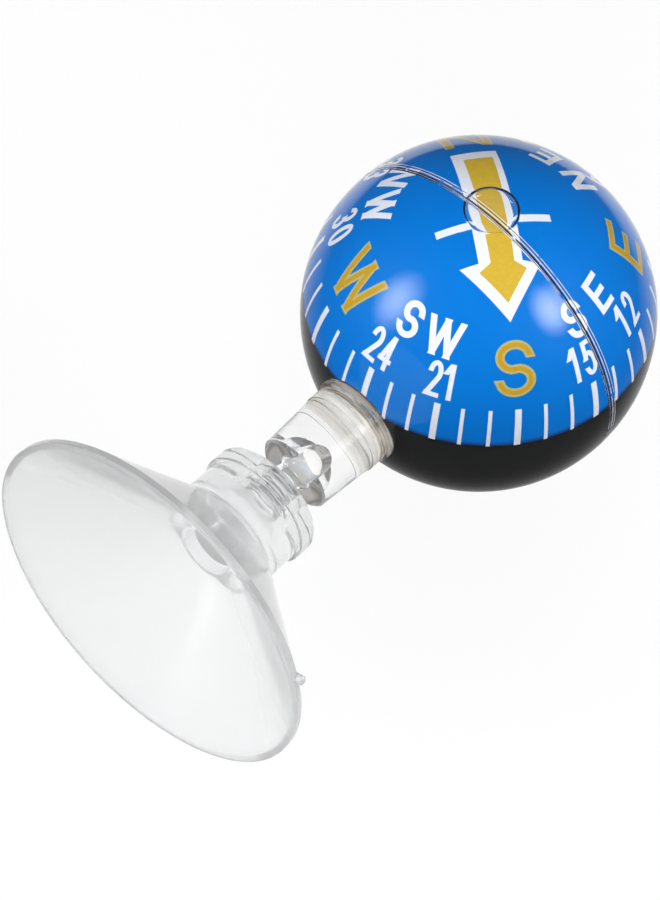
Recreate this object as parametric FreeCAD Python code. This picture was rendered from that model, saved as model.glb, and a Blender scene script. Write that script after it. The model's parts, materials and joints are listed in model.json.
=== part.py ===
import FreeCAD, Part
import math
import os

# Ball compass on a suction cup, lying on its side as it is photographed.
# The origin is the centre of the cup's rim plane, +X is the cup's axis towards the globe,
# and +Z is up, so the float lies level. The foot and the globe are made in line with the cup,
# then swung a little on the ball. Millimetres.

# Suction cup
cup_radius = 24.2
rim_height = 0.8
rim_land_width = 0.9
cup_depth = 13.4
cone_foot_radius = 8.1
cone_sag = 0.15
hollow_depth = 10.6
hollow_crown_radius = 4.0
hollow_sag = 0.5
crown_recess_radius = 3.4
crown_recess_depth = 1.8
neck_radius = 7.5
neck_length = 5.9
neck_fillet = 1.2
flange_radius = 7.95
flange_thickness = 2.9
flange_edge_radius = 0.8
nib_radius = 0.6
nib_reach = 0.7
nib_bearing = 74.0

# Stud that plugs into the neck and carries the ball
head_radius = 2.8
head_thickness = 1.1
head_lead_length = 0.5
head_lead_radius = 2.1
head_gap = 0.15
pocket_spare = 1.5
lip_thickness = 2.2
rib_radius = 2.3
rib_count = 4
rib_depth = 0.3
stud_face_stand = 0.2
stem_radius = 1.45
stem_fillet = 0.3
ball_radius = 2.6
ball_stand = 6.4
plug_clearance = 0.1

# Foot with its slotted socket
socket_clearance = 0.06
foot_open_setback = 1.6
foot_end_radius = 5.25
foot_root_radius = 5.7
foot_length = 8.2
foot_chamfer = 0.3
socket_mouth_chamfer = 0.25
slot_half_width = 1.9
slot_bearing = 30.0
spigot_radius = 4.55
spigot_length = 1.9
spigot_chamfer = 0.3

# Globe
globe_radius = 22.5
globe_wall = 1.2
band_radius = 5.8
band_length = 2.4
lip_ring_radius = 6.1
lip_ring_length = 1.05
collar_bore_clearance = 0.05
spigot_end_gap = 0.3
fill_hole_radius = 1.5
seam_step_share = 0.5
seam_tongue = 0.8
seam_groove = 0.12
seam_gap = 0.05
plug_head_radius = 2.6
plug_head_thickness = 0.6

# Liquid and its bubble
liquid_gap = 0.15
bubble_radius = 3.5
bubble_film = 0.12

# Float
float_gap = 2.15
float_wall = 1.5
float_step_share = 0.5
float_step_height = 1.2
south_bearing = -125.6
pocket_wall = 1.2
pocket_top = 2.5
pocket_gap = 0.05
rib_wall = 1.0
float_rib_count = 6
ballast_radius = 8.0
ballast_thickness = 8.5
ballast_edge = 0.4
magnet_end_wall = 1.0
magnet_width = 5.0
magnet_height = 3.0
magnet_gap = 0.05
carrier_thickness = 4.6
carrier_grip_radius = 1.2

# How far the foot is swung on the ball, in degrees, towards the top of its slot
swing = 6.1

# Cuts run past the faces that they open by this much, and ends this close are one point
overrun = 1.0
closing_tolerance = 0.0001

# Stations along the stem with the foot in line, worked out from the sizes above
flange_back = cup_depth + neck_length
flange_face = flange_back + flange_thickness
head_back = flange_face - lip_thickness - head_gap
pocket_floor = head_back - head_thickness - pocket_spare
stud_face = flange_face + stud_face_stand
ball_x = flange_face + ball_stand
foot_open = ball_x - foot_open_setback
foot_root = foot_open + foot_length
band_end = foot_root + band_length
lip_ring_end = band_end + lip_ring_length
globe_x = lip_ring_end + math.sqrt(globe_radius ** 2 - lip_ring_radius ** 2)
bore_floor = foot_root + spigot_length + spigot_end_gap + plug_head_thickness
inner_radius = globe_radius - globe_wall
float_radius = inner_radius - float_gap
liquid_radius = inner_radius - liquid_gap
liquid_bore = float_radius + liquid_gap
float_inside = float_radius - float_wall
pocket_radius = ballast_radius + pocket_gap
ballast_floor = -math.sqrt(float_inside ** 2 - pocket_radius ** 2)
magnet_floor = ballast_floor + ballast_thickness
magnet_length = 2 * math.sqrt((ballast_radius - magnet_end_wall) ** 2 - (magnet_width / 2) ** 2)

STEM = FreeCAD.Vector(1, 0, 0)
UP = FreeCAD.Vector(0, 0, 1)
ORIGIN = FreeCAD.Vector(0, 0, 0)
BALL = STEM * ball_x
STRAIGHT_GLOBE = STEM * globe_x
SWING_AXIS = FreeCAD.Rotation(STEM, slot_bearing).multVec(FreeCAD.Vector(0, -1, 0))
GLOBE = BALL + FreeCAD.Rotation(SWING_AXIS, swing).multVec(STRAIGHT_GLOBE - BALL)


def vector(point):
    return FreeCAD.Vector(point[0], 0, point[1])


def eased(before, corner, after, radius):
    """A corner of an outline with its edge broken: where the round starts, and the arc to its end."""
    old, here, new = vector(before), vector(corner), vector(after)
    back = (old - here).normalize()
    ahead = (new - here).normalize()
    half = back.getAngle(ahead) / 2
    shortest = min((old - here).Length, (new - here).Length)
    reach = min(radius / math.tan(half), shortest / 2)
    centre = here + (back + ahead).normalize() * (reach / math.cos(half))
    middle = centre + (here - centre).normalize() * (reach * math.tan(half))
    start = here + back * reach
    end = here + ahead * reach
    return [(start.x, start.z), ((middle.x, middle.z), (end.x, end.z))]


def outline_edges(outline):
    """Edges round a closed outline. A plain pair is a corner; a pair of pairs is an arc through its first."""
    edges = []
    last = vector(outline[0])
    for step in outline[1:] + [outline[0]]:
        if isinstance(step[0], tuple):
            middle, end = vector(step[0]), vector(step[1])
            edges.append(Part.Arc(last, middle, end).toShape())
        else:
            end = vector(step)
            if not last.isEqual(end, closing_tolerance):
                edges.append(Part.makeLine(last, end))
        last = end
    return edges


def turned(outline, axis=STEM, centre=ORIGIN):
    """The solid that an outline in the XZ plane makes when it is turned about an axis."""
    face = Part.Face(Part.Wire(outline_edges(outline)))
    face.translate(centre)
    return face.revolve(centre, axis, 360)


def swung(shape):
    """A piece of the foot or the globe, moved from in line with the cup to where it is swung."""
    shape.rotate(BALL, SWING_AXIS, swing)
    return shape


def on_sphere(radius, rise):
    """How far back from the globe's centre a sphere of that radius is met, at this distance off the axis."""
    return -math.sqrt(radius ** 2 - rise ** 2)


def polar(radius, angle):
    """A point of the XZ plane at an angle in radians from straight up."""
    return (radius * math.sin(angle), radius * math.cos(angle))


def save(shape, name):
    shape.exportStep("parts/" + name + ".step")


def suction_cup():
    """Cone with a flat rim land, a hollow face, and a flanged neck with an undercut pocket for the stud."""
    mouth = rib_radius + plug_clearance
    pocket = head_radius + plug_clearance
    cone_middle = ((rim_height + cup_depth) / 2, (cup_radius + cone_foot_radius) / 2 - cone_sag)
    hollow_rim = cup_radius - rim_land_width
    hollow_middle = (hollow_depth / 2 + hollow_sag, (hollow_rim + hollow_crown_radius) / 2)
    cone_foot = (cup_depth, cone_foot_radius)
    neck_foot = (cup_depth + neck_fillet, neck_radius)
    neck_middle = (cup_depth + neck_fillet / 3, (cone_foot_radius + 2 * neck_radius) / 3)
    back_corner = (flange_back, flange_radius)
    front_corner = (flange_face, flange_radius)
    recess_floor = hollow_depth + crown_recess_depth
    outline = [(0, cup_radius), (rim_height, cup_radius), (cone_middle, cone_foot), (neck_middle, neck_foot)]
    outline += [(flange_back, neck_radius)]
    outline += eased((flange_back, neck_radius), back_corner, front_corner, flange_edge_radius / 2)
    outline += eased(back_corner, front_corner, (flange_face, mouth), flange_edge_radius)
    outline += [(flange_face, mouth), (flange_face - lip_thickness, mouth)]
    outline += [(flange_face - lip_thickness, pocket), (pocket_floor, pocket), (pocket_floor, 0)]
    outline += [(recess_floor, 0), (recess_floor, crown_recess_radius), (hollow_depth, crown_recess_radius)]
    outline += [(hollow_depth, hollow_crown_radius), (hollow_middle, (0, hollow_rim))]
    cup = turned(outline)
    nib_root = FreeCAD.Vector(rim_height, 0, cup_radius - rim_land_width)
    nib = Part.makeCylinder(nib_radius, rim_land_width + nib_reach, nib_root, UP)
    nib = nib.common(Part.makeBox(
        2 * nib_radius, 2 * nib_radius, 2 * cup_radius, FreeCAD.Vector(rim_height - nib_radius, -nib_radius, 0)
    ))
    nib.rotate(ORIGIN, STEM, nib_bearing)
    return cup.fuse(nib).removeSplitter()


def ball_stud():
    """Mushroom head in the neck's pocket, ribbed plug through its lip, stem, and the ball."""
    head_front = head_back - head_thickness
    rib_pitch = (stud_face - head_back) / rib_count
    valley = rib_radius - rib_depth
    outline = [(head_front, 0), (head_front, head_lead_radius), (head_front + head_lead_length, head_radius)]
    outline += [(head_back, head_radius), (head_back, valley)]
    for index in range(rib_count):
        root = head_back + index * rib_pitch
        outline += [(root + rib_pitch / 3, rib_radius), (root + 2 * rib_pitch / 3, rib_radius)]
        outline += [(root + rib_pitch, valley)]
    stem_root = (stud_face, stem_radius)
    ball_root = (ball_x - math.sqrt(ball_radius ** 2 - stem_radius ** 2), stem_radius)
    outline += eased((stud_face, valley), stem_root, ball_root, stem_fillet)
    outline += [ball_root, ((ball_x, ball_radius), (ball_x + ball_radius, 0))]
    return turned(outline)


def swivel_foot():
    """Tapered foot: spigot into the collar, spherical socket, and the slot that the stem swings into."""
    chamfer_radius = foot_end_radius - foot_chamfer
    spigot_end = foot_root + spigot_length
    outline = [(foot_open, 0), (foot_open, chamfer_radius), (foot_open + foot_chamfer, foot_end_radius)]
    outline += [(foot_root, foot_root_radius), (foot_root, spigot_radius)]
    outline += [(spigot_end - spigot_chamfer, spigot_radius), (spigot_end, spigot_radius - spigot_chamfer)]
    outline += [(spigot_end, 0)]
    foot = turned(outline)
    socket_radius = ball_radius + socket_clearance
    foot = foot.cut(Part.makeSphere(socket_radius, BALL))
    mouth_radius = math.sqrt(socket_radius ** 2 - foot_open_setback ** 2)
    lead = Part.makeCone(
        mouth_radius + socket_mouth_chamfer,
        mouth_radius,
        socket_mouth_chamfer,
        FreeCAD.Vector(foot_open, 0, 0),
        STEM,
    )
    foot = foot.cut(lead)
    reach = foot_root_radius + overrun
    slot_end = Part.makeCylinder(slot_half_width, 2 * reach, FreeCAD.Vector(ball_x, 0, -reach), UP)
    slot_run = Part.makeBox(
        foot_open_setback + overrun,
        2 * slot_half_width,
        2 * reach,
        FreeCAD.Vector(foot_open - overrun, -slot_half_width, -reach),
    )
    slot = slot_run.fuse(slot_end).removeSplitter()
    slot.rotate(ORIGIN, STEM, slot_bearing)
    return swung(foot.cut(slot))


def seam_radius():
    return inner_radius + globe_wall * seam_step_share


def globe_rear_shell():
    """Half globe with the stepped collar, its bore and the fill hole. Its seam has the inner tongue."""
    bore = spigot_radius + collar_bore_clearance
    step = seam_radius() - seam_gap / 2
    foot_side = foot_root - globe_x
    band_side = band_end - globe_x
    ring_side = lip_ring_end - globe_x
    groove_edge = (-seam_groove, math.sqrt(globe_radius ** 2 - seam_groove ** 2))
    groove_root = (0, globe_radius - seam_groove)
    outer_middle = polar(globe_radius, -math.atan2(-ring_side, lip_ring_radius) / 2)
    inner_start = (on_sphere(inner_radius, fill_hole_radius), fill_hole_radius)
    inner_middle = polar(inner_radius, -math.pi / 4)
    floor_side = bore_floor - globe_x
    outline = [(foot_side, bore), (foot_side, band_radius), (band_side, band_radius)]
    outline += [(band_side, lip_ring_radius), (ring_side, lip_ring_radius)]
    outline += [(outer_middle, groove_edge), groove_root, (0, step), (seam_tongue, step)]
    outline += [(seam_tongue, inner_radius), (0, inner_radius), (inner_middle, inner_start)]
    outline += [(floor_side, fill_hole_radius), (floor_side, bore)]
    return swung(turned(outline, STEM, STRAIGHT_GLOBE))


def globe_front_shell():
    """The other half globe, with the rebate that takes the rear half's tongue."""
    step = seam_radius() + seam_gap / 2
    rebate = seam_tongue + seam_gap
    groove_edge = (seam_groove, math.sqrt(globe_radius ** 2 - seam_groove ** 2))
    groove_root = (0, globe_radius - seam_groove)
    inner_rebate = (rebate, math.sqrt(inner_radius ** 2 - rebate ** 2))
    outline = [groove_root, groove_edge, (polar(globe_radius, math.pi / 4), (globe_radius, 0))]
    outline += [(inner_radius, 0), (polar(inner_radius, math.pi / 4), inner_rebate), (rebate, step), (0, step)]
    return swung(turned(outline, STEM, STRAIGHT_GLOBE))


def filler_plug():
    """Headed plug in the fill hole, behind the foot."""
    head_start = bore_floor - plug_head_thickness
    tip = globe_x + on_sphere(inner_radius, fill_hole_radius)
    outline = [(head_start, 0), (head_start, plug_head_radius), (bore_floor, plug_head_radius)]
    outline += [(bore_floor, fill_hole_radius), (tip, fill_hole_radius), (tip, 0)]
    return swung(turned(outline))


def bubble():
    """Air trapped at the top of the liquid: a disc that follows the globe, with a round rim."""
    top = liquid_radius - bubble_film
    bottom = liquid_bore + bubble_film
    middle = (top + bottom) / 2
    half_height = (top - bottom) / 2
    spread = (bubble_radius - half_height) / middle
    rim = (spread * middle + half_height) / middle
    outline = [(0, bottom), (0, top), (polar(top, spread / 2), polar(top, spread))]
    outline += [(polar(middle, rim), polar(bottom, spread)), (polar(bottom, spread / 2), (0, bottom))]
    return turned(outline, UP, GLOBE)


def damping_liquid():
    """Clear oil between the globe and the float, with the bubble's room left out."""
    full = Part.makeSphere(liquid_radius, GLOBE)
    return full.cut(Part.makeSphere(liquid_bore, GLOBE)).cut(bubble())


def card_dome():
    """Upper half of the float, whose rim sits over the base's step."""
    step = float_inside + float_wall * float_step_share
    shoulder = (math.sqrt(float_inside ** 2 - float_step_height ** 2), float_step_height)
    outline = [(step, 0), (float_radius, 0), (polar(float_radius, math.pi / 4), (0, float_radius))]
    outline += [(0, float_inside), (polar(float_inside, math.pi / 4), shoulder), (step, float_step_height)]
    return turned(outline, UP, GLOBE)


def float_base():
    """Lower half of the float, with the ribbed pocket for the ballast and the magnet's carrier."""
    step = float_inside + float_wall * float_step_share
    quarter = 3 * math.pi / 4
    outline = [(0, -float_radius), (polar(float_radius, quarter), (float_radius, 0)), (step, 0)]
    outline += [(step, float_step_height - seam_gap), (float_inside, float_step_height - seam_gap)]
    outline += [(float_inside, 0), (polar(float_inside, quarter), (0, -float_inside))]
    base = turned(outline, UP, GLOBE)
    wall_radius = pocket_radius + pocket_wall
    blank = Part.makeCylinder(wall_radius, float_inside - pocket_top, GLOBE - UP * float_inside, UP)
    for index in range(float_rib_count):
        rib = Part.makeBox(
            float_inside,
            rib_wall,
            float_inside - pocket_top,
            GLOBE + FreeCAD.Vector(0, -rib_wall / 2, -float_inside),
        )
        rib.rotate(GLOBE, UP, south_bearing + 360 * (index + 0.5) / float_rib_count)
        blank = blank.fuse(rib)
    keep = Part.makeSphere(float_inside + float_wall / 2, GLOBE)
    base = base.fuse(blank.common(keep)).removeSplitter()
    pocket = Part.makeCylinder(pocket_radius, -ballast_floor, GLOBE + UP * ballast_floor, UP)
    return base.cut(pocket)


def ballast_disc():
    disc = Part.makeCylinder(ballast_radius, ballast_thickness, GLOBE + UP * ballast_floor, UP)
    return disc.makeChamfer(ballast_edge, [edge for edge in disc.Edges if edge.Closed])


def magnet_blank(gap):
    """The bar magnet's block along the card's north-south line, larger by a gap on each side."""
    corner = FreeCAD.Vector(-magnet_length / 2 - gap, -magnet_width / 2 - gap, magnet_floor)
    block = Part.makeBox(magnet_length + 2 * gap, magnet_width + 2 * gap, magnet_height + gap, GLOBE + corner)
    block.rotate(GLOBE, UP, south_bearing)
    return block


def magnet_carrier():
    """Disc over the ballast with a pocket for the magnet and two finger holes."""
    disc = Part.makeCylinder(ballast_radius, carrier_thickness, GLOBE + UP * magnet_floor, UP)
    carrier = disc.cut(magnet_blank(magnet_gap))
    side = (magnet_width / 2 + ballast_radius) / 2
    for offset in (-side, side):
        hole = Part.makeCylinder(
            carrier_grip_radius,
            carrier_thickness + 2 * overrun,
            GLOBE + FreeCAD.Vector(0, offset, magnet_floor - overrun),
            UP,
        )
        hole.rotate(GLOBE, UP, south_bearing)
        carrier = carrier.cut(hole)
    return carrier


def magnet():
    return magnet_blank(0)


def main():
    os.makedirs("parts", exist_ok=True)
    makers = (
        suction_cup,
        ball_stud,
        swivel_foot,
        globe_rear_shell,
        globe_front_shell,
        filler_plug,
        damping_liquid,
        card_dome,
        float_base,
        ballast_disc,
        magnet_carrier,
        magnet,
    )
    for maker in makers:
        piece = maker()
        save(piece, maker.__name__)
        print(maker.__name__, "valid", piece.isValid(), "solids", len(piece.Solids), "cm3", round(piece.Volume / 1000, 3))


main()
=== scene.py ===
import json
import math

import bmesh
import bpy
from mathutils import Matrix, Vector


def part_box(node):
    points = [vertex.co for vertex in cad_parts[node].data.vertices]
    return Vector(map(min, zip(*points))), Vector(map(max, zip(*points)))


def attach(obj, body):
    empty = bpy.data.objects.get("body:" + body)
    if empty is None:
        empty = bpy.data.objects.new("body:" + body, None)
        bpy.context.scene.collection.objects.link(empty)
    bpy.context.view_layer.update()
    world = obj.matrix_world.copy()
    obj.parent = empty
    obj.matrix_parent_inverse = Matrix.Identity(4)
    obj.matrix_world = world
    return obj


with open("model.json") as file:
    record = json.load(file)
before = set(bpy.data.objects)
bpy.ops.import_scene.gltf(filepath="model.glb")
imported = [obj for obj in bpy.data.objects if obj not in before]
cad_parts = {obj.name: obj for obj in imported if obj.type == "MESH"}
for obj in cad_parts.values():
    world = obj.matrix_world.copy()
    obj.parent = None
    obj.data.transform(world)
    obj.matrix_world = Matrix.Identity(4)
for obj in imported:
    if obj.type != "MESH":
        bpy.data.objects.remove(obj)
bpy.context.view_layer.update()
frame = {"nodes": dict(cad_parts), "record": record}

# Sizes read from the frame, in metres
MM = 0.001
nodes = frame["nodes"]
joints = {joint["name"]: joint for joint in frame["record"]["behaviour"]["joints"]}
GLOBE = Vector(joints["float_turn"]["pos_m"])
BALL = Vector(joints["ball_tilt"]["pos_m"])
STEM = (GLOBE - BALL).normalized()
GLOBE_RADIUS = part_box("globe_front_shell")[1].z - GLOBE.z
FLOAT_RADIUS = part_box("card_dome")[1].z - GLOBE.z
LIQUID_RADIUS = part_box("damping_liquid")[1].z - GLOBE.z
CUP_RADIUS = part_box("suction_cup")[1].z

# The globe's collar and the foot cemented into it: places along the stem from the globe's centre, and radii
FOOT_ROOT = -25.107 * MM
SPIGOT_END = FOOT_ROOT + 1.9 * MM
BORE_RADIUS = 4.6 * MM
SHOULDER_RADIUS = 5.7 * MM
COLLAR_END = -21.6 * MM
SEAM_GROOVE = 0.12 * MM

# Camera, placed by its bearing round the compass and its height, and the picture's size in pixels
VIEW_TURN = math.radians(-53.4)
VIEW_RISE = math.radians(53.7)
VIEW_ROLL = math.radians(5.6)
VIEW_DISTANCE = 0.8
VIEW_LENS = 254.2
SENSOR_LENGTH = 36
PICTURE_SIZE = (660, 900)
VIEW_FOCUS = VIEW_LENS / SENSOR_LENGTH * PICTURE_SIZE[1]
GLOBE_PIXEL = (478.6, 313.3)


def camera_axes():
    """Right, up and backward directions of the camera."""
    level = Vector((math.cos(VIEW_TURN), math.sin(VIEW_TURN), 0))
    ahead = Vector((-math.sin(VIEW_TURN), math.cos(VIEW_TURN), 0))
    back = -ahead * math.cos(VIEW_RISE) + Vector((0, 0, math.sin(VIEW_RISE)))
    steep = ahead * math.sin(VIEW_RISE) + Vector((0, 0, math.cos(VIEW_RISE)))
    right = level * math.cos(VIEW_ROLL) + steep * math.sin(VIEW_ROLL)
    up = -level * math.sin(VIEW_ROLL) + steep * math.cos(VIEW_ROLL)
    return right, up, back


RIGHT, UP, BACK = camera_axes()


def make_camera():
    data = bpy.data.cameras.new("camera")
    data.lens = VIEW_LENS
    camera = bpy.data.objects.new("camera", data)
    bpy.context.scene.collection.objects.link(camera)
    across = (GLOBE_PIXEL[0] - PICTURE_SIZE[0] / 2) / VIEW_FOCUS
    above = (PICTURE_SIZE[1] / 2 - GLOBE_PIXEL[1]) / VIEW_FOCUS
    place = GLOBE - (RIGHT * across + UP * above - BACK) * VIEW_DISTANCE
    axes = Matrix((RIGHT, UP, BACK)).transposed()
    camera.matrix_world = Matrix.Translation(place) @ axes.to_4x4()
    bpy.context.scene.camera = camera


class Field:
    """A value that varies over a surface. Arithmetic on it adds Math nodes."""

    def __init__(self, finish, socket):
        self.finish = finish
        self.socket = socket

    def __add__(self, other):
        return self.finish.maths("ADD", self, other)

    def __sub__(self, other):
        return self.finish.maths("SUBTRACT", self, other)

    def __rsub__(self, other):
        return self.finish.maths("SUBTRACT", other, self)

    def __mul__(self, other):
        return self.finish.maths("MULTIPLY", self, other)

    def __pow__(self, other):
        return self.finish.maths("POWER", self, other)

    def __gt__(self, other):
        return self.finish.maths("GREATER_THAN", self, other)

    def __lt__(self, other):
        return self.finish.maths("LESS_THAN", self, other)

    def ramp(self, start, end):
        """0 at start, 1 at end, eased between them."""
        settings = {"interpolation_type": "SMOOTHSTEP"}
        return self.finish.add("MapRange", settings, {"Value": self, "From Min": start, "From Max": end})

    def between(self, low, high):
        """Low where the value is 0, high where it is 1."""
        return self * (high - low) + low

    __radd__ = __add__
    __rmul__ = __mul__


class Finish:
    """A node tree of a material or the world, and what adds its nodes."""

    def __init__(self, owner):
        owner.use_nodes = True
        self.owner = owner
        self.tree = owner.node_tree
        self.tree.nodes.clear()

    def add(self, kind, settings=None, inputs=None, output=0):
        """Adds a node: its type, its settings, its sockets' values or links, and the output wanted."""
        node = self.tree.nodes.new("ShaderNode" + kind)
        for name, value in (settings or {}).items():
            setattr(node, name, value)
        for name, value in (inputs or {}).items():
            if isinstance(value, Field):
                self.tree.links.new(value.socket, node.inputs[name])
            else:
                node.inputs[name].default_value = value
        return Field(self, node.outputs[output]) if node.outputs else None

    def maths(self, operation, *values):
        return self.add("Math", {"operation": operation}, dict(enumerate(values)))

    def place(self):
        """Where a point is on the piece at rest, in metres in the frame."""
        return self.add("TexCoord", output="Object")

    def parts(self, vector):
        node = self.add("SeparateXYZ", inputs={"Vector": vector}).socket.node
        return [Field(self, socket) for socket in node.outputs]

    def reach(self, centre):
        """Distance of a point from a centre."""
        inputs = {0: self.place(), 1: centre}
        return self.add("VectorMath", {"operation": "DISTANCE"}, inputs, "Value")

    def along_stem(self):
        """Distance of a point from the globe's centre, along the globe's own axis."""
        from_globe = self.add("VectorMath", {"operation": "SUBTRACT"}, {0: self.place(), 1: GLOBE})
        return self.add("VectorMath", {"operation": "DOT_PRODUCT"}, {0: from_globe, 1: STEM}, "Value")

    def off_stem(self):
        """Distance of a point from the globe's own axis."""
        reach = self.reach(GLOBE)
        along = self.along_stem()
        return (reach * reach - along * along) ** 0.5

    def noise(self, size, detail=2.0, place=None):
        """Noise whose features are about that size in metres."""
        inputs = {"Vector": place or self.place(), "Scale": 1 / size, "Detail": detail}
        return self.add("TexNoise", inputs=inputs)

    def blend(self, factor, one, other):
        """A colour between two others."""
        inputs = {0: factor, 6: one, 7: other}
        return self.add("Mix", {"data_type": "RGBA"}, inputs, 2)

    def bump(self, height, depth):
        return self.add("Bump", inputs={"Height": height, "Distance": depth})

    def grain(self, size, depth, detail=2.0):
        """A face made uneven by noise of that size and depth, in metres."""
        return self.bump(self.noise(size, detail), depth)

    def mix(self, factor, one, other):
        return self.add("MixShader", inputs={0: factor, 1: one, 2: other})

    def surface(self, shader):
        kinds = {"World": "OutputWorld", "Material": "OutputMaterial"}
        self.add(kinds.get(type(self.owner).__name__, "OutputLight"), inputs={"Surface": shader})
        return self.owner


def finish_named(name):
    return Finish(bpy.data.materials.new(name))


def rgb(red, green, blue):
    """A colour from its screen values of 0 to 255."""
    def linear(value):
        share = value / 255
        return share / 12.92 if share <= 0.04045 else ((share + 0.055) / 1.055) ** 2.4

    return (linear(red), linear(green), linear(blue), 1)


WHITE = (1, 1, 1, 1)
DULL = {"Specular IOR Level": 0.1}
UNPOLISHED = {"Specular IOR Level": 0.0}
PLASTIC_INDEX = 1.49
OIL_INDEX = 1.46

# What lies this near an edge still counts as on it
EDGE_SLACK = 0.01 * MM
SKIN_DEPTH = SEAM_GROOVE * 0.99
BORE_REACH = BORE_RADIUS * 1.01

# Where the cup's vinyl grows grey, by its radius, and clear, by its distance from the glass
RIM_START = CUP_RADIUS - 1.2 * MM
RIM_FULL = CUP_RADIUS - 0.3 * MM
NECK_START = 16.5 * MM
NECK_FULL = 19.5 * MM

# The shadow that moulded pieces cast, and how strongly they mirror
MOULDING_SHADE = (0.86, 0.87, 0.88, 1)
MOULDING_SHINE = 0.35

# The cloud that solvent left in the collar: its share, its fade at both ends, and its streaks, whose dark
# and pale tones are painted reflections of the collar's facets
HAZE_SHARE = 0.6
HAZE_FOOT_FADE = 1.3 * MM
HAZE_GLOBE_FADE = 0.4 * MM
STREAK_SIZE = 4 * MM
STREAK_SQUEEZE = 8


def lamps_pass(finish, shader, tint=WHITE):
    """Lets lamps reach what is behind a clear piece."""
    through = finish.add("BsdfTransparent", inputs={"Color": tint})
    shadow = finish.add("LightPath", output="Is Shadow Ray")
    return finish.mix(shadow, shader, through)


def clear_plastic(finish, tint, roughness, normal, shine, milk=0.0):
    """Plastic that bends light. Its shine is how strongly it mirrors, its milk how cloudy it is."""
    return finish.add(
        "BsdfPrincipled",
        inputs={
            "Base Color": tint,
            "Roughness": roughness,
            "IOR": PLASTIC_INDEX,
            "Transmission Weight": 1.0 - milk,
            "Specular Tint": (shine, shine, shine, 1),
            "Normal": normal,
        },
    )


def opaque(finish, colour, roughness, normal, more=None):
    """What light doesn't pass through, with any further sockets it needs."""
    inputs = {"Base Color": colour, "Roughness": roughness, "Normal": normal}
    return finish.add("BsdfPrincipled", inputs={**inputs, **(more or {})})


def collar_haze(finish, along):
    """How clouded the collar is at a point, and the cloud, streaked with painted reflections of the
    collar's facets.
    """
    squeezed = finish.add("VectorMath", {"operation": "SCALE"}, {0: STEM, "Scale": along * STREAK_SQUEEZE})
    rows = finish.add("VectorMath", {"operation": "ADD"}, {0: finish.place(), 1: squeezed})
    streaks = finish.noise(STREAK_SIZE, detail=3.0, place=rows)
    # The dark and pale streak tones are painted reflections of the collar's facets
    colour = finish.blend(streaks.ramp(0.35, 0.65), rgb(112, 106, 97), rgb(200, 194, 184))
    haze_and_painted_streaks = finish.add("BsdfPrincipled", inputs={"Base Color": colour, **UNPOLISHED})
    cloud = streaks.ramp(0.15, 0.5) * along.ramp(FOOT_ROOT, FOOT_ROOT + HAZE_FOOT_FADE) * HAZE_SHARE
    return along.ramp(COLLAR_END, COLLAR_END - HAZE_GLOBE_FADE) * cloud, haze_and_painted_streaks


def globe_plastic():
    """Polished clear styrene. It bends light at its outer faces; inside, oil of its own index wets it.
    Solvent has clouded the collar, where the foot is cemented in, and the cloud's streaks are painted
    reflections of the collar's facets."""
    finish = finish_named("globe_plastic")
    along = finish.along_stem()
    off = finish.off_stem()
    skin = finish.reach(GLOBE) > GLOBE_RADIUS - SKIN_DEPTH
    bore = (off < BORE_REACH) * (along < SPIGOT_END)
    butt = (off < SHOULDER_RADIUS) * (along < FOOT_ROOT + EDGE_SLACK)
    outside = skin * (1 - bore) * (1 - butt)
    ripple = finish.grain(size=6 * MM, depth=0.004 * MM, detail=1.0)
    glass = clear_plastic(finish, (0.985, 0.99, 0.99, 1), roughness=0.0, normal=ripple, shine=0.5)
    share, haze_and_painted_streaks = collar_haze(finish, along)
    clear = finish.add("BsdfTransparent")
    return finish.surface(lamps_pass(finish, finish.mix(outside, clear, finish.mix(share, glass, haze_and_painted_streaks))))


def damping_oil():
    """Clear oil, seen only where the bubble's skin bends light, between the float and the globe's wall."""
    finish = finish_named("damping_oil")
    reach = finish.reach(GLOBE)
    over_float = FLOAT_RADIUS + 0.21 * MM
    under_wall = LIQUID_RADIUS - 0.06 * MM
    skin = (reach > over_float) * (reach < under_wall)
    glass = finish.add("BsdfGlass", inputs={"Roughness": 0.0, "IOR": OIL_INDEX})
    clear = finish.add("BsdfTransparent")
    return finish.surface(lamps_pass(finish, finish.mix(skin, clear, glass)))


def soft_vinyl():
    """Clear at the thick neck, cloudier on the thin cone and greyer at the rim."""
    finish = finish_named("soft_vinyl")
    x, y, z = finish.parts(finish.place())
    rim = ((y * y + z * z) ** 0.5).ramp(RIM_START, RIM_FULL)
    tint = finish.blend(rim, (0.82, 0.825, 0.825, 1), (0.72, 0.72, 0.725, 1))
    cone_flow = finish.grain(size=4 * MM, depth=0.015 * MM, detail=3.0)
    neck_flow = finish.grain(size=4 * MM, depth=0.02 * MM, detail=3.0)
    cone = clear_plastic(finish, tint, roughness=0.1, normal=cone_flow, shine=MOULDING_SHINE, milk=0.3)
    neck = clear_plastic(finish, tint, roughness=0.02, normal=neck_flow, shine=MOULDING_SHINE, milk=0.06)
    vinyl = finish.mix(x.ramp(NECK_START, NECK_FULL), cone, neck)
    return finish.surface(lamps_pass(finish, vinyl, MOULDING_SHADE))


def clear_nylon():
    """A little milky, with fine flow marks."""
    finish = finish_named("clear_nylon")
    flow = finish.grain(size=1.5 * MM, depth=0.01 * MM, detail=3.0)
    tint = (0.97, 0.97, 0.96, 1)
    nylon = clear_plastic(finish, tint, roughness=0.03, normal=flow, shine=MOULDING_SHINE, milk=0.15)
    return finish.surface(lamps_pass(finish, nylon, MOULDING_SHADE))


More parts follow.
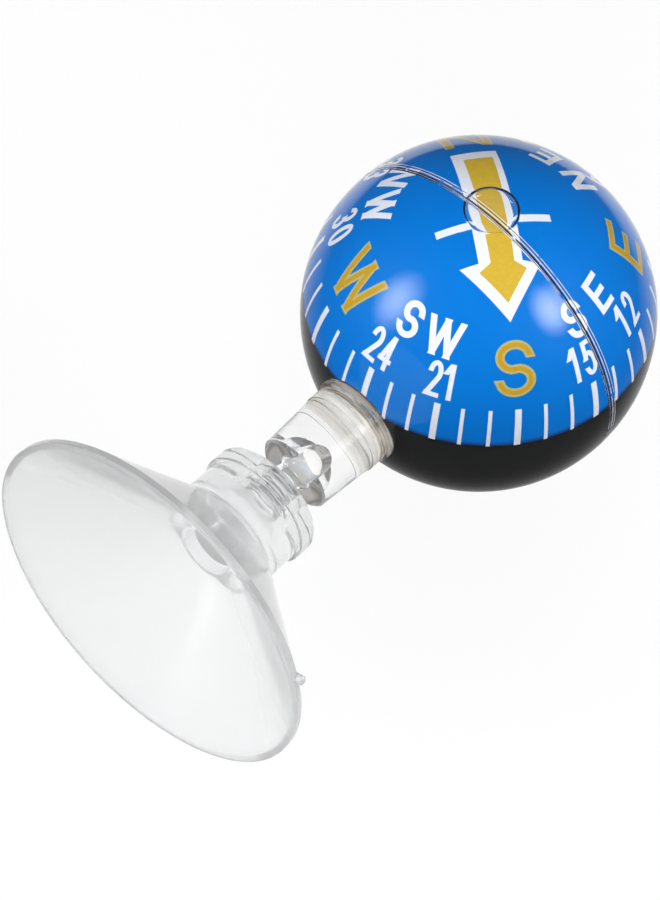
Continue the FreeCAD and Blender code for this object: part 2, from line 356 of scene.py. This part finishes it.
def foot_plastic():
    """Clear styrene whose spigot and shoulder are cemented into the collar, so they bend no light."""
    finish = finish_named("foot_plastic")
    along = finish.along_stem()
    free = (along < FOOT_ROOT - EDGE_SLACK) + (along > SPIGOT_END - EDGE_SLACK)
    flow = finish.grain(size=3 * MM, depth=0.01 * MM, detail=3.0)
    glass = clear_plastic(finish, (0.93, 0.93, 0.93, 1), roughness=0.05, normal=flow, shine=0.15, milk=0.08)
    cement = finish.add("BsdfTransparent", inputs={"Color": (0.98, 0.98, 0.97, 1)})
    return finish.surface(lamps_pass(finish, finish.mix(free, cement, glass)))


def card_blue():
    """Mottled blue, darker just above the base."""
    finish = finish_named("card_blue")
    mottle = finish.noise(2.5 * MM, detail=4.0)
    height = finish.parts(finish.place())[2] - GLOBE.z
    blue = finish.blend(mottle, rgb(0, 113, 208), rgb(4, 121, 214))
    shaded = finish.blend(height.ramp(0.8 * MM, 0.0) * 0.75, blue, rgb(30, 20, 60))
    flow = finish.grain(size=0.4 * MM, depth=0.003 * MM)
    return finish.surface(opaque(finish, shaded, mottle.between(0.45, 0.55), flow, DULL))


def base_black():
    finish = finish_named("base_black")
    mottle = finish.noise(1.8 * MM, detail=4.0)
    black = finish.blend(mottle, rgb(20, 20, 20), rgb(34, 34, 35))
    flow = finish.grain(size=2 * MM, depth=0.004 * MM)
    return finish.surface(opaque(finish, black, mottle.between(0.4, 0.55), flow, DULL))


def ink(name, thin, thick):
    """Printing ink that lies a little unevenly."""
    finish = finish_named(name)
    cover = finish.noise(0.5 * MM, detail=3.0)
    colour = finish.blend(cover, thin, thick)
    lumps = finish.grain(size=0.2 * MM, depth=0.004 * MM)
    return finish.surface(opaque(finish, colour, cover.between(0.45, 0.65), lumps, DULL))


def turned_brass():
    """Brass with a lathe's rings."""
    finish = finish_named("turned_brass")
    x, y = finish.parts(finish.place())[:2]
    radius = ((x - GLOBE.x) ** 2.0 + (y - GLOBE.y) ** 2.0) ** 0.5
    ring_step = 0.25 * MM
    rings = finish.bump(finish.maths("SINE", radius * (2 * math.pi / ring_step)), depth=0.006 * MM)
    colour = finish.blend(finish.noise(1.5 * MM), rgb(205, 165, 90), rgb(222, 184, 112))
    roughness = finish.noise(0.8 * MM).between(0.25, 0.4)
    return finish.surface(opaque(finish, colour, roughness, rings, {"Metallic": 1.0}))


def carrier_white():
    finish = finish_named("carrier_white")
    grain = finish.noise(0.3 * MM, detail=3.0)
    colour = finish.blend(finish.noise(3 * MM), rgb(228, 228, 224), rgb(238, 238, 235))
    return finish.surface(opaque(finish, colour, grain.between(0.5, 0.65), finish.bump(grain, 0.01 * MM)))


def sintered_ferrite():
    finish = finish_named("sintered_ferrite")
    grain = finish.noise(0.15 * MM, detail=4.0)
    colour = finish.blend(grain, rgb(52, 52, 56), rgb(78, 78, 82))
    pits = finish.bump(grain, depth=0.02 * MM)
    return finish.surface(opaque(finish, colour, grain.between(0.55, 0.75), pits, {"Metallic": 0.3}))


# The print on the float. Bearings run clockwise from above; south is this far round from +X.
SOUTH_TURN = math.radians(-125.6)
INK_DEPTH = 0.03 * MM
INK_SINK = 0.03 * MM
LAYER = 0.003 * MM
CARD_LEVEL = 0.0
OVER_LEVEL = 0.02 * MM
TOP_LEVEL = 0.04 * MM
RUNG_STEP = 0.3 * MM
TOUCHING = 0.01 * MM
CUT_SLACK = 1e-7
ARC_STEP = 12
DEGREE = FLOAT_RADIUS * math.pi / 180


def bearing_turn(bearing):
    return SOUTH_TURN - math.radians(bearing - 180)


class Spot:
    """A place on the float with its own right and up, as a reader sees them from outside."""

    def __init__(self, bearing, latitude):
        turn = bearing_turn(bearing)
        level = Vector((math.cos(turn), math.sin(turn), 0))
        lean = math.radians(latitude)
        self.out = level * math.cos(lean) + Vector((0, 0, math.sin(lean)))
        self.up = level * -math.sin(lean) + Vector((0, 0, math.cos(lean)))
        self.right = self.up.cross(self.out)

    def on_float(self, point):
        """A flat point of the print, laid on the sphere at its distance and direction from this place."""
        reach = math.hypot(point.x, point.y)
        if reach == 0:
            ray = self.out
        else:
            along = (self.right * point.x + self.up * point.y) / reach
            angle = reach / FLOAT_RADIUS
            ray = self.out * math.cos(angle) + along * math.sin(angle)
        return GLOBE + ray * (FLOAT_RADIUS + point.z)


def arc(centre, radii, start, end):
    """Points round part of an ellipse, angles in degrees from the right, anticlockwise."""
    steps = max(2, round(abs(end - start) / ARC_STEP))
    angles = [math.radians(start + (end - start) * step / steps) for step in range(steps + 1)]
    return [(centre[0] + radii[0] * math.cos(a), centre[1] + radii[1] * math.sin(a)) for a in angles]


# Strokes of each figure and letter, as shares of its width and height
GLYPH_SHARES = {
    "0": [arc((0.5, 0.5), (0.5, 0.5), 90, 450)],
    "1": [[(0.12, 0.8), (0.46, 1)], [(0.62, 1), (0.62, 0)]],
    "2": [arc((0.5, 0.73), (0.46, 0.27), 170, -35) + [(0.03, 0)], [(0.03, 0), (1, 0)]],
    "3": [arc((0.46, 0.76), (0.44, 0.24), 160, -75), arc((0.46, 0.27), (0.5, 0.27), 75, -160)],
    "4": [[(0.72, 1), (0.72, 0)], [(0.66, 1), (0.06, 0.27)], [(0, 0.27), (1, 0.27)]],
    "5": [[(0.9, 1), (0.2, 1)], [(0.2, 1), (0.1, 0.53)], arc((0.46, 0.33), (0.5, 0.33), 140, -150)],
    "6": [arc((0.5, 0.31), (0.48, 0.31), 90, 450), arc((0.98, 0.34), (0.96, 0.66), 180, 110)],
    "N": [[(0, 0), (0, 1)], [(0.1, 1), (0.9, 0)], [(1, 0), (1, 1)]],
    "E": [[(1, 1), (0, 1)], [(0, 1), (0, 0)], [(0, 0), (1, 0)], [(0, 0.52), (0.85, 0.52)]],
    "S": [
        arc((0.5, 0.745), (0.47, 0.255), 12, 255)
        + arc((0.5, 0.26), (0.5, 0.26), 75, -168)
    ],
    "W": [[(0, 1), (0.25, 0)], [(0.25, 0), (0.5, 1)], [(0.5, 1), (0.75, 0)], [(0.75, 0), (1, 1)]],
}


def resampled(points):
    """The same line with points about a step apart."""
    line = [points[0]]
    for start, end in zip(points, points[1:]):
        length = (end - start).length
        steps = max(1, round(length / RUNG_STEP))
        line += [start.lerp(end, step / steps) for step in range(1, steps + 1)]
    return line


def stroke_rungs(points, width):
    """Pairs of edge points along a stroke. A steep stroke ends level, and a flat one upright."""
    line = resampled(points)
    closed = (line[0] - line[-1]).length < TOUCHING
    rungs = []
    half = width / 2
    for index, here in enumerate(line):
        before = line[index - 1] if index else (line[-2] if closed else here)
        after = line[index + 1] if index + 1 < len(line) else (line[1] if closed else here)
        ahead = (after - before).normalized()
        spread = Vector((-ahead.y, ahead.x)) * half
        if not closed and index in (0, len(line) - 1):
            steep = abs(ahead.y) > abs(ahead.x)
            slant = ahead.y if steep else ahead.x
            spread = Vector((-half / slant, 0)) if steep else Vector((0, half / slant))
            here = here + ahead * (half / abs(slant) * (1 if index else -1))
        rungs.append((here + spread, here - spread))
    return rungs, closed


def add_stroke(sheet, points, width, level):
    """A ribbon along a stroke, in the flat of the print."""
    rungs, closed = stroke_rungs(points, width)
    pairs = [[sheet.verts.new((p.x, p.y, level)) for p in rung] for rung in rungs]
    if closed:
        for vertex in pairs.pop():
            sheet.verts.remove(vertex)
        pairs.append(pairs[0])
    for (a, b), (c, d) in zip(pairs, pairs[1:]):
        sheet.faces.new((b, d, c, a))


def add_outline(sheet, corners, level, cell):
    """A flat shape cut into cells small enough to follow the float."""
    shape = bmesh.new()
    shape.faces.new([shape.verts.new((x, y, level)) for x, y in corners])
    for axis in (Vector((1, 0, 0)), Vector((0, 1, 0))):
        spread = [v.co.dot(axis) for v in shape.verts]
        cut = math.ceil(min(spread) / cell) * cell
        while cut < max(spread):
            whole = shape.verts[:] + shape.edges[:] + shape.faces[:]
            bmesh.ops.bisect_plane(shape, geom=whole, dist=CUT_SLACK, plane_co=axis * cut, plane_no=axis)
            cut += cell
    bmesh.ops.triangulate(shape, faces=shape.faces[:])
    made = {v: sheet.verts.new(v.co) for v in shape.verts}
    for face in shape.faces:
        sheet.faces.new([made[v] for v in face.verts])
    shape.free()


def lay(target, sheet, spot):
    """Thickens a flat sheet of ink, lays it on the float at a spot, and adds it to a mesh."""
    faces = sheet.faces[:]
    made = bmesh.ops.extrude_face_region(sheet, geom=faces)["geom"]
    raised = [v for v in made if isinstance(v, bmesh.types.BMVert)]
    for vertex in raised:
        vertex.co.z += INK_SINK + INK_DEPTH
    for vertex in sheet.verts:
        vertex.co.z -= INK_SINK
    for vertex in sheet.verts:
        vertex.co = spot.on_float(vertex.co.copy())
    bmesh.ops.recalc_face_normals(sheet, faces=sheet.faces[:])
    copy = {v: target.verts.new(v.co) for v in sheet.verts}
    for face in sheet.faces:
        target.faces.new([copy[v] for v in face.verts])
    sheet.free()


def write(target, text, spot, width, height, stroke, level=0.0, inset=0.0):
    """Draws one figure or letter, its middle on the spot."""
    sheet = bmesh.new()
    for index, shares in enumerate(GLYPH_SHARES[text]):
        reach = (width - stroke, height - stroke)
        points = [Vector(((x - 0.5) * reach[0], (y - 0.5) * reach[1])) for x, y in shares]
        add_stroke(sheet, points, stroke - 2 * inset, level + index * LAYER)
    lay(target, sheet, spot)


# Painted reflections in the globe's seam: dark lines and pale painted highlights as thin rings inside the
# wall, their places along the stem and their thickness
SEAM_REACH = 21.95 * MM
SEAM_DARK_REFLECTION = ((0.5 * MM, 0.13 * MM), (1.05 * MM, 0.05 * MM))
SEAM_PAINTED_HIGHLIGHT = ((0.26 * MM, 0.06 * MM), (0.8 * MM, 0.05 * MM), (1.2 * MM, 0.04 * MM))
RING_STEPS = 240
RING_SIDES = 6


def seam_rings(places):
    """Thin rings round the stem, inside the globe's wall."""
    target = bmesh.new()
    side = STEM.orthogonal().normalized()
    across = STEM.cross(side)
    for along, thickness in places:
        rows = []
        for step in range(RING_STEPS):
            turn = 2 * math.pi * step / RING_STEPS
            out = side * math.cos(turn) + across * math.sin(turn)
            row = []
            for edge in range(RING_SIDES):
                angle = 2 * math.pi * edge / RING_SIDES
                reach = SEAM_REACH + thickness * math.cos(angle)
                level = along + thickness * math.sin(angle)
                row.append(target.verts.new(GLOBE + out * reach + STEM * level))
            rows.append(row)
        for row, after in zip(rows, rows[1:] + rows[:1]):
            for edge in range(RING_SIDES):
                other = (edge + 1) % RING_SIDES
                target.faces.new((row[edge], row[other], after[other], after[edge]))
    bmesh.ops.recalc_face_normals(target, faces=target.faces[:])
    return target


def mesh_piece(name, sheet, material, body):
    mesh = bpy.data.meshes.new(name)
    sheet.to_mesh(mesh)
    sheet.free()
    mesh.materials.append(material)
    piece = bpy.data.objects.new(name, mesh)
    bpy.context.scene.collection.objects.link(piece)
    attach(piece, body)
    return piece


# The scale's ticks: their steps and bottom latitude in degrees, and their widths
TICK_STEP = 10
BOLD_STEP = 30
TICK_BOTTOM = -0.2
FINE_TICK = 0.46 * MM
BOLD_TICK = 0.78 * MM

# How unevenly the scale is printed: a bearing, how far ticks stand off it, and their top latitude there
TICK_PLACES = (
    (20, 0.6, 16.3), (110, 0.9, 15.2), (145, 0.0, 16.0), (195, 1.0, 16.4),
    (250, -1.9, 17.5), (290, -0.3, 18.4), (345, 0.3, 16.5),
)


def tick_place(bearing):
    """A tick's shift and top, eased between the places above."""
    first, last = TICK_PLACES[0], TICK_PLACES[-1]
    places = ((last[0] - 360, *last[1:]), *TICK_PLACES, (first[0] + 360, *first[1:]))
    for start, end in zip(places, places[1:]):
        if start[0] <= bearing < end[0]:
            share = (bearing - start[0]) / (end[0] - start[0])
            eased = share * share * (3 - 2 * share)
            return [one + (other - one) * eased for one, other in zip(start[1:], end[1:])]


def degree_ticks():
    target = bmesh.new()
    for bearing in range(0, 360, TICK_STEP):
        bold = bearing % BOLD_STEP == 0
        width = BOLD_TICK if bold else FINE_TICK
        shift, top = tick_place(bearing)
        half = (top - TICK_BOTTOM) / 2 * DEGREE - width / 2
        sheet = bmesh.new()
        add_stroke(sheet, [Vector((0, -half)), Vector((0, half))], width, 0)
        lay(target, sheet, Spot(bearing + shift, (top + TICK_BOTTOM) / 2))
    return target


# Tens of degrees over the bold ticks that have no letter: text, bearing, latitude and pitch in degrees
FIGURE_PLACES = (
    ("3", 30.0, 30.0, 0.0), ("6", 60.0, 30.0, 0.0),
    ("12", 123.1, 26.0, 7.7), ("15", 152.6, 26.2, 7.2),
    ("21", 210.65, 25.75, 6.3), ("24", 238.5, 26.3, 6.6),
    ("30", 298.5, 29.5, 8.0), ("33", 330.0, 32.0, 8.0),
)
FIGURE_HEIGHT = 4.72 * MM
FIGURE_WIDTH = 1.86 * MM
FIGURE_STROKE = 0.6 * MM


def degree_figures():
    target = bmesh.new()
    for text, bearing, latitude, pitch in FIGURE_PLACES:
        for index, figure in enumerate(text):
            spot = Spot(bearing + ((len(text) - 1) / 2 - index) * pitch, latitude)
            write(target, figure, spot, FIGURE_WIDTH, FIGURE_HEIGHT, FIGURE_STROKE)
    return target


# Letters between the quarters, in pairs: letter, bearing and latitude in degrees
LETTER_HEIGHT = 4.7 * MM
LETTER_STROKE = 0.78 * MM
LETTER_WIDTHS = {"N": 3.15 * MM, "E": 2.73 * MM, "S": 2.83 * MM, "W": 4.4 * MM}
QUARTER_PLACES = (
    ("S", 232.7, 41.9), ("W", 214.6, 41.1),
    ("S", 148.6, 41.9), ("E", 129.2, 42.1),
    ("N", 62.5, 44.6), ("E", 42.4, 45.0),
    ("N", 322.0, 47.5), ("W", 301.8, 47.0),
)


def quarter_letters():
    target = bmesh.new()
    for letter, bearing, latitude in QUARTER_PLACES:
        spot = Spot(bearing, latitude)
        write(target, letter, spot, LETTER_WIDTHS[letter], LETTER_HEIGHT, LETTER_STROKE)
    return target


# The four large letters, mustard with a pale edge: letter, bearing and latitude in degrees
CARDINAL_HEIGHT = 7.1 * MM
CARDINAL_STROKE = 1.1 * MM
CARDINAL_EDGE = 0.27 * MM
CARDINAL_WIDTHS = {"N": 5.5 * MM, "E": 4.3 * MM, "S": 4.85 * MM, "W": 6.8 * MM}
CARDINAL_PLACES = (("S", 181.5, 32.25), ("W", 266.6, 35.0), ("N", 4.0, 39.0), ("E", 95.0, 33.0))


def cardinal_letters(level, inset):
    target = bmesh.new()
    for letter, bearing, latitude in CARDINAL_PLACES:
        spot = Spot(bearing, latitude)
        write(target, letter, spot, CARDINAL_WIDTHS[letter], CARDINAL_HEIGHT, CARDINAL_STROKE, level, inset)
    return target


# The arrow over the pole, in degrees of arc: its corners anticlockwise from the tip, before it is turned
ARROW_TURN = math.radians(2.9)
ARROW_SHIFT = 0.6
ARROW_CELL = 0.8 * MM
ARROW_EDGE = (
    (0.0, -40.8), (13.9, -20.6), (7.3, -19.2), (8.3, 33.7), (-8.3, 33.7), (-8.6, -18.8), (-15.7, -19.6),
)
ARROW_GOLD = (
    (0.0, -34.0), (8.4, -22.2), (4.2, -19.2), (6.1, 28.9), (-4.5, 28.9), (-4.3, -19.2), (-8.9, -22.2),
)
CROSS_BAR = ((-21.0, -2.0), (-21.0, -4.9), (21.0, -4.9), (21.0, -2.0))


def arrow_corners(outline):
    """An arrow's outline, turned as it lies on the card."""
    cos, sin = math.cos(ARROW_TURN), math.sin(ARROW_TURN)
    return [(ARROW_SHIFT + x * cos + y * sin, y * cos - x * sin) for x, y in outline]


def pole_shape(corners, level):
    """A shape laid over the float's pole, north up."""
    sheet = bmesh.new()
    add_outline(sheet, [(x * DEGREE, y * DEGREE) for x, y in corners], level, ARROW_CELL)
    target = bmesh.new()
    lay(target, sheet, Spot(180, 90))
    return target


def make_print():
    white = ink("ink_white", rgb(226, 232, 244), rgb(240, 243, 252))
    pale = ink("ink_pale_gold", rgb(176, 172, 104), rgb(192, 186, 122))
    mustard = ink("ink_mustard", rgb(186, 146, 32), rgb(202, 162, 46))
    gold = ink("ink_gold", rgb(202, 167, 50), rgb(218, 185, 68))
    pieces = (
        ("degree_ticks", degree_ticks(), white),
        ("degree_figures", degree_figures(), white),
        ("quarter_letters", quarter_letters(), white),
        ("cardinal_edges", cardinal_letters(CARD_LEVEL, 0.0), pale),
        ("cardinal_letters", cardinal_letters(OVER_LEVEL, CARDINAL_EDGE), mustard),
        ("cross_bar", pole_shape(CROSS_BAR, CARD_LEVEL), white),
        ("arrow_edge", pole_shape(arrow_corners(ARROW_EDGE), OVER_LEVEL), white),
        ("arrow", pole_shape(arrow_corners(ARROW_GOLD), TOP_LEVEL), gold),
    )
    for name, sheet, colour in pieces:
        mesh_piece(name, sheet, colour, "float")


def seam_cement(name, colour):
    """A painted reflection line in the seam, shown here and there and clear between."""
    finish = finish_named(name)
    lumps = finish.grain(size=0.3 * MM, depth=0.02 * MM)
    paint = opaque(finish, colour, finish.noise(1 * MM).between(0.2, 0.4), lumps)
    clear = finish.add("BsdfTransparent")
    line_shown = finish.noise(2 * MM, detail=3.0).ramp(0.3, 0.45)
    return finish.surface(lamps_pass(finish, finish.mix(line_shown, clear, paint)))


def make_seam():
    # The dark rings are painted dark reflections and the pale rings are painted highlights
    dark = seam_cement("seam_dark", rgb(20, 22, 28))
    pale = seam_cement("seam_pale", rgb(236, 240, 248))
    mesh_piece("seam_painted_dark_reflection", seam_rings(SEAM_DARK_REFLECTION), dark, "globe")
    mesh_piece("seam_painted_highlight", seam_rings(SEAM_PAINTED_HIGHLIGHT), pale, "globe")


def dress_nodes():
    """Every node of the frame gets its finish."""
    nylon = clear_nylon()
    styrene = foot_plastic()
    shell = globe_plastic()
    finishes = {
        "suction_cup": soft_vinyl(),
        "ball_stud": nylon,
        "filler_plug": nylon,
        "swivel_foot": styrene,
        "globe_rear_shell": shell,
        "globe_front_shell": shell,
        "damping_liquid": damping_oil(),
        "card_dome": card_blue(),
        "float_base": base_black(),
        "ballast_disc": turned_brass(),
        "magnet_carrier": carrier_white(),
        "magnet": sintered_ferrite(),
    }
    for name, material in finishes.items():
        for slot in nodes[name].material_slots:
            slot.material = material


# The floor lies clear of the globe where it hangs straight down from its ball
FLOOR_GAP = 1 * MM
FLOOR_DROP = (GLOBE - BALL).length + GLOBE_RADIUS + FLOOR_GAP
FLOOR_SIZE = 3.0
FLOOR_COLOUR = (0.9, 0.9, 0.9, 1)
FLOOR_GLOW = 1.03
FLOOR_WHITE = 0.72

# A bright patch of floor past the compass, that mirrors show: its distance, where it fades out and is full
AWAY = Vector((-BACK.x, -BACK.y, 0)).normalized()
PATCH_DISTANCE = 0.17
PATCH_EDGE = (0.21, 0.085)

# How dark the room is in mirrors, how dim its ceiling is through clear pieces, and how steeply a ray rises
# where that ceiling begins and where it is full
ROOM_DARK = 0.08
ROOM_DIM = 0.35
CEILING_EDGE = (0.1, 0.5)


def sights(finish):
    """What a ray comes from: the camera, a polished face that mirrors, or a clear or satin piece."""
    names = ("Is Camera Ray", "Is Glossy Ray", "Is Transmission Ray", "Is Singular Ray")
    camera, glossy, through, sharp = [finish.add("LightPath", output=name) for name in names]
    mirror = glossy * sharp * (1 - through)
    return camera, mirror, finish.maths("MAXIMUM", glossy, through) - mirror


def make_floor():
    """A plain white floor. Polished faces mirror a bright patch of it, and dark floor round that."""
    sheet = bmesh.new()
    bmesh.ops.create_grid(sheet, x_segments=1, y_segments=1, size=FLOOR_SIZE)
    mesh = bpy.data.meshes.new("floor")
    sheet.to_mesh(mesh)
    sheet.free()
    floor = bpy.data.objects.new("floor", mesh)
    floor.location.z = BALL.z - FLOOR_DROP
    bpy.context.scene.collection.objects.link(floor)
    finish = finish_named("floor_white")
    camera, mirror, clear = sights(finish)
    card = finish.add("BsdfDiffuse", inputs={"Color": FLOOR_COLOUR})
    glow = finish.add("Emission", inputs={"Strength": FLOOR_GLOW})
    seen = finish.mix((camera + clear) * FLOOR_WHITE, card, glow)
    behind = GLOBE + AWAY * PATCH_DISTANCE
    dark = finish.add("Emission", inputs={"Strength": ROOM_DARK})
    bright = finish.add("Emission", inputs={"Strength": 1.0})
    mirrored = finish.mix(finish.reach((behind.x, behind.y, 0)).ramp(*PATCH_EDGE), dark, bright)
    material = finish.surface(finish.mix(mirror, seen, mirrored))
    material.cycles.emission_sampling = "NONE"
    mesh.materials.append(material)


def make_room():
    """White, with a dimmer ceiling seen through clear pieces, and a dark room in mirrors."""
    world = bpy.data.worlds.new("room")
    bpy.context.scene.world = world
    finish = Finish(world)
    rise = finish.parts(finish.add("TexCoord", output="Generated"))[2]
    camera, mirror, clear = sights(finish)
    ceiling = rise.ramp(*CEILING_EDGE)
    strength = camera + clear * (1 - ceiling * (1 - ROOM_DIM)) + mirror * ROOM_DARK
    finish.surface(finish.add("Background", inputs={"Color": WHITE, "Strength": strength}))
    world.cycles.sampling_method = "NONE"


# Lamps by name: direction from the globe, width in metres and power in watts
LAMP_DISTANCE = 1.0
LAMPS = {
    "lamp_top": (Vector((0, 0, 1)), 1.0, 3.3),
    "lamp_front": (BACK, 0.8, 3.4),
    "lamp_low": (BACK * 0.8 - UP * 0.6, 0.6, 1.5),
    "lamp_left": (RIGHT * -1 + BACK * 0.5, 0.8, 8.2),
    "lamp_right": (RIGHT + BACK * 0.5, 0.8, 7.8),
}

# Spots by name: direction from the globe, width and height in metres and power in watts
SPOT_DISTANCE = 0.6
SPOTS = {
    "spot_right": (RIGHT * 0.70 + UP * 0.018 + BACK * 0.71, 0.32, 0.42, 7.0),
    "spot_left": (RIGHT * -0.82 + UP * 0.12 + BACK * 0.6, 0.36, 0.52, 7.0),
}


def make_lamp(name, direction, distance, size, power):
    """A round lamp that shines on the globe and shows in no mirror."""
    data = bpy.data.lights.new(name, "AREA")
    data.shape = "DISK"
    data.size = size
    data.energy = power
    data.cycles.use_multiple_importance_sampling = False
    lamp = bpy.data.objects.new(name, data)
    lamp.location = GLOBE + direction.normalized() * distance
    lamp.rotation_mode = "QUATERNION"
    lamp.rotation_quaternion = direction.to_track_quat("Z", "Y")
    lamp.visible_glossy = False
    lamp.visible_transmission = False
    bpy.context.scene.collection.objects.link(lamp)
    return lamp


def make_spot(name, direction, width, height, power):
    """An upright oval lamp, bright in its middle, that only polished and clear pieces show."""
    lamp = make_lamp(name, direction, SPOT_DISTANCE, width, power)
    data = lamp.data
    data.shape = "ELLIPSE"
    data.size_y = height
    data.cycles.use_multiple_importance_sampling = True
    finish = Finish(data)
    inputs = {0: finish.add("NewGeometry", output="Parametric"), 1: (0.5, 0.5, 0)}
    off_middle = finish.add("VectorMath", {"operation": "DISTANCE"}, inputs, "Value")
    finish.surface(finish.add("Emission", inputs={"Strength": off_middle.ramp(0.5, 0.0)}))
    lamp.visible_glossy = True
    lamp.visible_transmission = True
    lamp.visible_diffuse = False


def make_lamps():
    for name, (direction, width, height, power) in SPOTS.items():
        make_spot(name, direction, width, height, power)
    for name, (direction, size, power) in LAMPS.items():
        make_lamp(name, direction, LAMP_DISTANCE, size, power)


make_camera()
make_floor()
make_room()
make_lamps()
dress_nodes()
make_print()
make_seam()
scene = bpy.context.scene
scene.view_settings.view_transform = "Standard"
scene.cycles.caustics_refractive = False
scene.cycles.caustics_reflective = False
scene.cycles.transparent_max_bounces = 24
